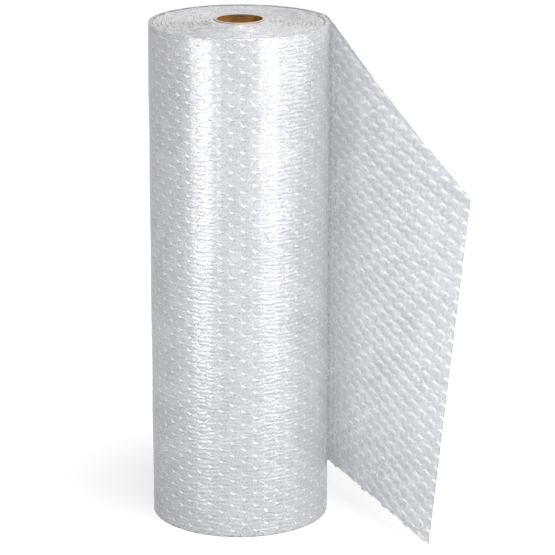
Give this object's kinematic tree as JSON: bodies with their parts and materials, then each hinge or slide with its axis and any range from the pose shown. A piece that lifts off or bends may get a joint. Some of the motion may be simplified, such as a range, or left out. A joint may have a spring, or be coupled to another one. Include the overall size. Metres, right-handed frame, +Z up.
{
  "type": "bubble wrap roll",
  "caption": "Roll of clear bubble cushioning film wound on a cardboard core, standing on end, with its loose end hanging open at one side.",
  "frame": {"origin": "centre of the core's bore at the roll's lower end, on the surface it stands on", "axes": "+Z up along the core's axis, +X towards the side where the loose end leaves the roll, -Y the front, towards which the loose end comes"},
  "size_m": [0.3087, 0.198, 0.503],
  "materials": {
    "film": "clear polyethylene film, soft gloss",
    "core": "spiral-wound paperboard, matt"
  },
  "bodies": {
    "root": {"core_tube": "core", "bubble_film": "film"}
  },
  "joints": []
}
